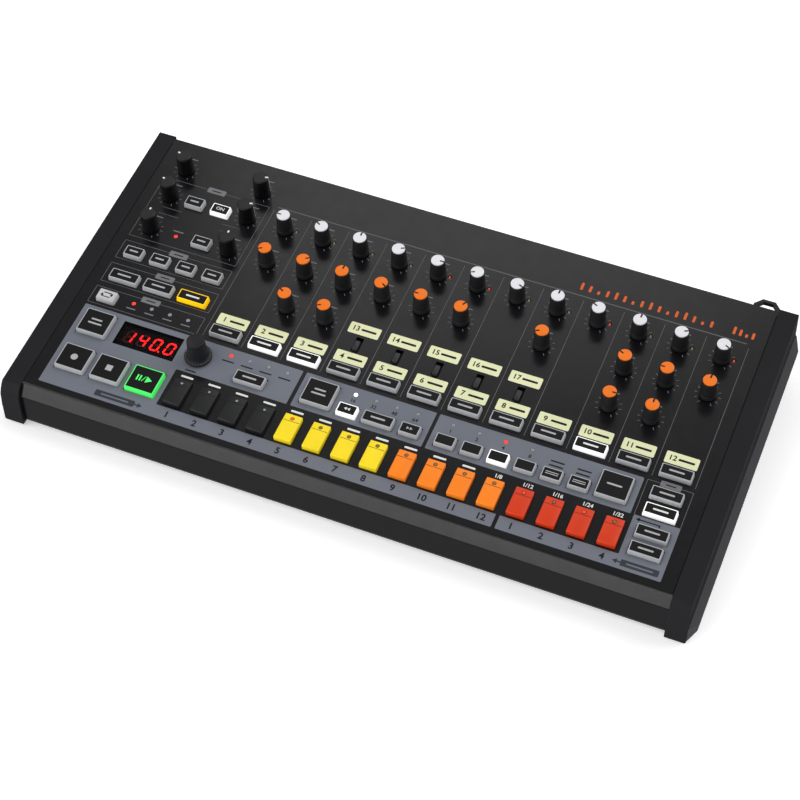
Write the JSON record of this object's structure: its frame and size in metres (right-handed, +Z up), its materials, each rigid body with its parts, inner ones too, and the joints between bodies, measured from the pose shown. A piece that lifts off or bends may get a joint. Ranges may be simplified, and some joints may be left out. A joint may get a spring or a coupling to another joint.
{
  "type": "drum machine",
  "caption": "Desktop drum machine: sloping panel of knobs, push buttons and coloured step keys with a red digit display, between moulded end cheeks.",
  "frame": {"origin": "on the table, under the middle of the overall box", "axes": "+X to the right end seen from the front, +Y to the rear panel, +Z up"},
  "size_m": [0.498, 0.265, 0.077],
  "materials": {
    "panel_paint": "fine satin powder coat",
    "tray_paint": "fine satin powder coat",
    "cheek_plastic": "satin moulded plastic",
    "board_laminate": "solder mask over laminate",
    "control_plastic": "plain moulded plastic",
    "display_plastic": "dull black with red segments",
    "window_plastic": "polished smoked plastic",
    "lamp_plastic": "clear moulded lens",
    "jack_plastic": "plain moulded plastic",
    "socket_steel": "drawn steel",
    "hook_plastic": "plain moulded plastic",
    "foot_rubber": "dull rubber",
    "screw_steel": "blackened steel",
    "knob_plastic": "satin moulded plastic",
    "button_plastic": "translucent moulded plastic",
    "dark_key_plastic": "satin moulded plastic",
    "yellow_key_plastic": "satin moulded plastic",
    "orange_key_plastic": "satin moulded plastic",
    "red_key_plastic": "satin moulded plastic"
  },
  "bodies": {
    "case": {"top_panel": "panel_paint", "chassis_tray": "tray_paint", "left_cheek": "cheek_plastic", "right_cheek": "cheek_plastic", "circuit_boards": "board_laminate", "panel_controls": "control_plastic", "display_module": "display_plastic", "display_window": "window_plastic", "status_lamps": "lamp_plastic", "audio_jacks": "jack_plastic", "midi_sockets": "jack_plastic", "mini_jacks": "jack_plastic", "usb_socket": "socket_steel", "power_inlet": "control_plastic", "cord_hook": "hook_plastic", "rubber_feet": "foot_rubber", "case_screws": "screw_steel"},
    "level_knob_02": {"level_knob_02": "knob_plastic"},
    "tone_knob_04": {"tone_knob_04": "knob_plastic"},
    "main_knob_4": {"main_knob_4": "knob_plastic"},
    "data_wheel": {"data_wheel": "knob_plastic"},
    "dark_step_keys": {"dark_step_keys": "dark_key_plastic"},
    "yellow_step_keys": {"yellow_step_keys": "yellow_key_plastic"},
    "orange_step_keys": {"orange_step_keys": "orange_key_plastic"},
    "red_step_keys": {"red_step_keys": "red_key_plastic"},
    "small_buttons": {"small_buttons": "button_plastic"},
    "wide_buttons": {"wide_buttons": "button_plastic"},
    "select_buttons": {"select_buttons": "button_plastic"},
    "square_buttons": {"square_buttons": "button_plastic"},
    "slide_levers": {"slide_levers": "knob_plastic"},
    "power_rocker": {"power_rocker": "knob_plastic"},
    "level_knob_01": {"level_knob_01": "knob_plastic"},
    "level_knob_03": {"level_knob_03": "knob_plastic"},
    "level_knob_04": {"level_knob_04": "knob_plastic"},
    "level_knob_05": {"level_knob_05": "knob_plastic"},
    "level_knob_06": {"level_knob_06": "knob_plastic"},
    "level_knob_07": {"level_knob_07": "knob_plastic"},
    "level_knob_08": {"level_knob_08": "knob_plastic"},
    "level_knob_09": {"level_knob_09": "knob_plastic"},
    "level_knob_10": {"level_knob_10": "knob_plastic"},
    "level_knob_11": {"level_knob_11": "knob_plastic"},
    "level_knob_12": {"level_knob_12": "knob_plastic"},
    "tone_knob_01": {"tone_knob_01": "knob_plastic"},
    "tone_knob_02": {"tone_knob_02": "knob_plastic"},
    "tone_knob_03": {"tone_knob_03": "knob_plastic"},
    "tone_knob_05": {"tone_knob_05": "knob_plastic"},
    "tone_knob_06": {"tone_knob_06": "knob_plastic"},
    "tone_knob_07": {"tone_knob_07": "knob_plastic"},
    "tone_knob_08": {"tone_knob_08": "knob_plastic"},
    "tone_knob_09": {"tone_knob_09": "knob_plastic"},
    "tone_knob_10": {"tone_knob_10": "knob_plastic"},
    "tone_knob_11": {"tone_knob_11": "knob_plastic"},
    "tone_knob_12": {"tone_knob_12": "knob_plastic"},
    "tone_knob_13": {"tone_knob_13": "knob_plastic"},
    "tone_knob_14": {"tone_knob_14": "knob_plastic"},
    "main_knob_1": {"main_knob_1": "knob_plastic"},
    "main_knob_2": {"main_knob_2": "knob_plastic"},
    "main_knob_3": {"main_knob_3": "knob_plastic"},
    "main_knob_5": {"main_knob_5": "knob_plastic"},
    "main_knob_6": {"main_knob_6": "knob_plastic"}
  },
  "joints": [
    {"name": "level_knob_turn_02", "type": "hinge", "parent": "case", "child": "level_knob_02", "pos_m": [-0.08776, 0.05963, 0.05524], "axis": [0, 0.0958, -0.9954], "range_deg": [-88, 212]},
    {"name": "tone_knob_turn_04", "type": "hinge", "parent": "case", "child": "tone_knob_04", "pos_m": [-0.02928, 0.02798, 0.05219], "axis": [0, 0.0958, -0.9954], "range_deg": [-270, 30]},
    {"name": "main_knob_turn_4", "type": "hinge", "parent": "case", "child": "main_knob_4", "pos_m": [-0.1469, 0.05963, 0.05524], "axis": [0, 0.0958, -0.9954], "range_deg": [-223, 77]},
    {"name": "data_wheel_turn", "type": "hinge", "parent": "case", "child": "data_wheel", "pos_m": [-0.1264, -0.0635, 0.04338], "axis": [0, 0.0958, -0.9954], "continuous": true},
    {"name": "dark_step_keys_press", "type": "slide", "parent": "case", "child": "dark_step_keys", "axis": [0, 0.0958, -0.9954], "range_m": [0, 0.002], "stiffness_N_per_m": 300, "springref_m": -0.0015},
    {"name": "yellow_step_keys_press", "type": "slide", "parent": "case", "child": "yellow_step_keys", "axis": [0, 0.0958, -0.9954], "range_m": [0, 0.002], "stiffness_N_per_m": 300, "springref_m": -0.0015},
    {"name": "orange_step_keys_press", "type": "slide", "parent": "case", "child": "orange_step_keys", "axis": [0, 0.0958, -0.9954], "range_m": [0, 0.002], "stiffness_N_per_m": 300, "springref_m": -0.0015},
    {"name": "red_step_keys_press", "type": "slide", "parent": "case", "child": "red_step_keys", "axis": [0, 0.0958, -0.9954], "range_m": [0, 0.002], "stiffness_N_per_m": 300, "springref_m": -0.0015},
    {"name": "small_buttons_press", "type": "slide", "parent": "case", "child": "small_buttons", "axis": [0, 0.0958, -0.9954], "range_m": [0, 0.0012], "stiffness_N_per_m": 400, "springref_m": -0.0012},
    {"name": "wide_buttons_press", "type": "slide", "parent": "case", "child": "wide_buttons", "axis": [0, 0.0958, -0.9954], "range_m": [0, 0.0012], "stiffness_N_per_m": 400, "springref_m": -0.0012},
    {"name": "select_buttons_press", "type": "slide", "parent": "case", "child": "select_buttons", "axis": [0, 0.0958, -0.9954], "range_m": [0, 0.0012], "stiffness_N_per_m": 400, "springref_m": -0.0012},
    {"name": "square_buttons_press", "type": "slide", "parent": "case", "child": "square_buttons", "axis": [0, 0.0958, -0.9954], "range_m": [0, 0.0012], "stiffness_N_per_m": 400, "springref_m": -0.0012},
    {"name": "slide_levers_slide", "type": "slide", "parent": "case", "child": "slide_levers", "axis": [0, 0.9954, 0.0958], "range_m": [0, 0.004]},
    {"name": "power_rocker_tilt", "type": "hinge", "parent": "case", "child": "power_rocker", "pos_m": [0.17, 0.1095, 0.028], "axis": [-1, 0, 0], "range_deg": [0, 18]},
    {"name": "level_knob_turn_01", "type": "hinge", "parent": "case", "child": "level_knob_01", "pos_m": [-0.117, 0.05963, 0.05524], "axis": [0, 0.0958, -0.9954], "range_deg": [-60, 240]},
    {"name": "level_knob_turn_03", "type": "hinge", "parent": "case", "child": "level_knob_03", "pos_m": [-0.05852, 0.05963, 0.05524], "axis": [0, 0.0958, -0.9954], "range_deg": [-150, 150]},
    {"name": "level_knob_turn_04", "type": "hinge", "parent": "case", "child": "level_knob_04", "pos_m": [-0.02928, 0.05963, 0.05524], "axis": [0, 0.0958, -0.9954], "range_deg": [-212, 88]},
    {"name": "level_knob_turn_05", "type": "hinge", "parent": "case", "child": "level_knob_05", "pos_m": [-0.00004, 0.05963, 0.05524], "axis": [0, 0.0958, -0.9954], "range_deg": [-240, 60]},
    {"name": "level_knob_turn_06", "type": "hinge", "parent": "case", "child": "level_knob_06", "pos_m": [0.0292, 0.05963, 0.05524], "axis": [0, 0.0958, -0.9954], "range_deg": [-37, 263]},
    {"name": "level_knob_turn_07", "type": "hinge", "parent": "case", "child": "level_knob_07", "pos_m": [0.05844, 0.05963, 0.05524], "axis": [0, 0.0958, -0.9954], "range_deg": [-262, 38]},
    {"name": "level_knob_turn_08", "type": "hinge", "parent": "case", "child": "level_knob_08", "pos_m": [0.08768, 0.05963, 0.05524], "axis": [0, 0.0958, -0.9954], "range_deg": [-150, 150]},
    {"name": "level_knob_turn_09", "type": "hinge", "parent": "case", "child": "level_knob_09", "pos_m": [0.11692, 0.05963, 0.05524], "axis": [0, 0.0958, -0.9954], "range_deg": [-87, 213]},
    {"name": "level_knob_turn_10", "type": "hinge", "parent": "case", "child": "level_knob_10", "pos_m": [0.14616, 0.05963, 0.05524], "axis": [0, 0.0958, -0.9954], "range_deg": [-150, 150]},
    {"name": "level_knob_turn_11", "type": "hinge", "parent": "case", "child": "level_knob_11", "pos_m": [0.1754, 0.05963, 0.05524], "axis": [0, 0.0958, -0.9954], "range_deg": [-212, 88]},
    {"name": "level_knob_turn_12", "type": "hinge", "parent": "case", "child": "level_knob_12", "pos_m": [0.20464, 0.05963, 0.05524], "axis": [0, 0.0958, -0.9954], "range_deg": [-268, 32]},
    {"name": "tone_knob_turn_01", "type": "hinge", "parent": "case", "child": "tone_knob_01", "pos_m": [-0.117, 0.02798, 0.05219], "axis": [0, 0.0958, -0.9954], "range_deg": [-30, 270]},
    {"name": "tone_knob_turn_02", "type": "hinge", "parent": "case", "child": "tone_knob_02", "pos_m": [-0.08776, 0.02798, 0.05219], "axis": [0, 0.0958, -0.9954], "range_deg": [-207, 93]},
    {"name": "tone_knob_turn_03", "type": "hinge", "parent": "case", "child": "tone_knob_03", "pos_m": [-0.05852, 0.02798, 0.05219], "axis": [0, 0.0958, -0.9954], "range_deg": [-150, 150]},
    {"name": "tone_knob_turn_05", "type": "hinge", "parent": "case", "child": "tone_knob_05", "pos_m": [-0.00004, 0.02798, 0.05219], "axis": [0, 0.0958, -0.9954], "range_deg": [-60, 240]},
    {"name": "tone_knob_turn_06", "type": "hinge", "parent": "case", "child": "tone_knob_06", "pos_m": [0.0292, 0.02798, 0.05219], "axis": [0, 0.0958, -0.9954], "range_deg": [-180, 120]},
    {"name": "tone_knob_turn_07", "type": "hinge", "parent": "case", "child": "tone_knob_07", "pos_m": [0.08768, 0.02798, 0.05219], "axis": [0, 0.0958, -0.9954], "range_deg": [-33, 267]},
    {"name": "tone_knob_turn_08", "type": "hinge", "parent": "case", "child": "tone_knob_08", "pos_m": [0.14616, 0.02798, 0.05219], "axis": [0, 0.0958, -0.9954], "range_deg": [-87, 213]},
    {"name": "tone_knob_turn_09", "type": "hinge", "parent": "case", "child": "tone_knob_09", "pos_m": [0.1754, 0.02798, 0.05219], "axis": [0, 0.0958, -0.9954], "range_deg": [-60, 240]},
    {"name": "tone_knob_turn_10", "type": "hinge", "parent": "case", "child": "tone_knob_10", "pos_m": [0.20464, 0.02798, 0.05219], "axis": [0, 0.0958, -0.9954], "range_deg": [-150, 150]},
    {"name": "tone_knob_turn_11", "type": "hinge", "parent": "case", "child": "tone_knob_11", "pos_m": [-0.08776, -0.00367, 0.04914], "axis": [0, 0.0958, -0.9954], "range_deg": [-90, 210]},
    {"name": "tone_knob_turn_12", "type": "hinge", "parent": "case", "child": "tone_knob_12", "pos_m": [-0.05852, -0.00367, 0.04914], "axis": [0, 0.0958, -0.9954], "range_deg": [-34, 266]},
    {"name": "tone_knob_turn_13", "type": "hinge", "parent": "case", "child": "tone_knob_13", "pos_m": [0.14616, -0.00367, 0.04914], "axis": [0, 0.0958, -0.9954], "range_deg": [-240, 60]},
    {"name": "tone_knob_turn_14", "type": "hinge", "parent": "case", "child": "tone_knob_14", "pos_m": [0.1754, -0.00367, 0.04914], "axis": [0, 0.0958, -0.9954], "range_deg": [-150, 150]},
    {"name": "main_knob_turn_1", "type": "hinge", "parent": "case", "child": "main_knob_1", "pos_m": [-0.2079, 0.02798, 0.05219], "axis": [0, 0.0958, -0.9954], "range_deg": [-150, 150]},
    {"name": "main_knob_turn_2", "type": "hinge", "parent": "case", "child": "main_knob_2", "pos_m": [-0.1469, 0.02798, 0.05219], "axis": [0, 0.0958, -0.9954], "range_deg": [-150, 150]},
    {"name": "main_knob_turn_3", "type": "hinge", "parent": "case", "child": "main_knob_3", "pos_m": [-0.2079, 0.05963, 0.05524], "axis": [0, 0.0958, -0.9954], "range_deg": [-77, 223]},
    {"name": "main_knob_turn_5", "type": "hinge", "parent": "case", "child": "main_knob_5", "pos_m": [-0.2079, 0.08611, 0.05779], "axis": [0, 0.0958, -0.9954], "range_deg": [-82, 218]},
    {"name": "main_knob_turn_6", "type": "hinge", "parent": "case", "child": "main_knob_6", "pos_m": [-0.1469, 0.08611, 0.05779], "axis": [0, 0.0958, -0.9954], "range_deg": [-224, 76]}
  ]
}
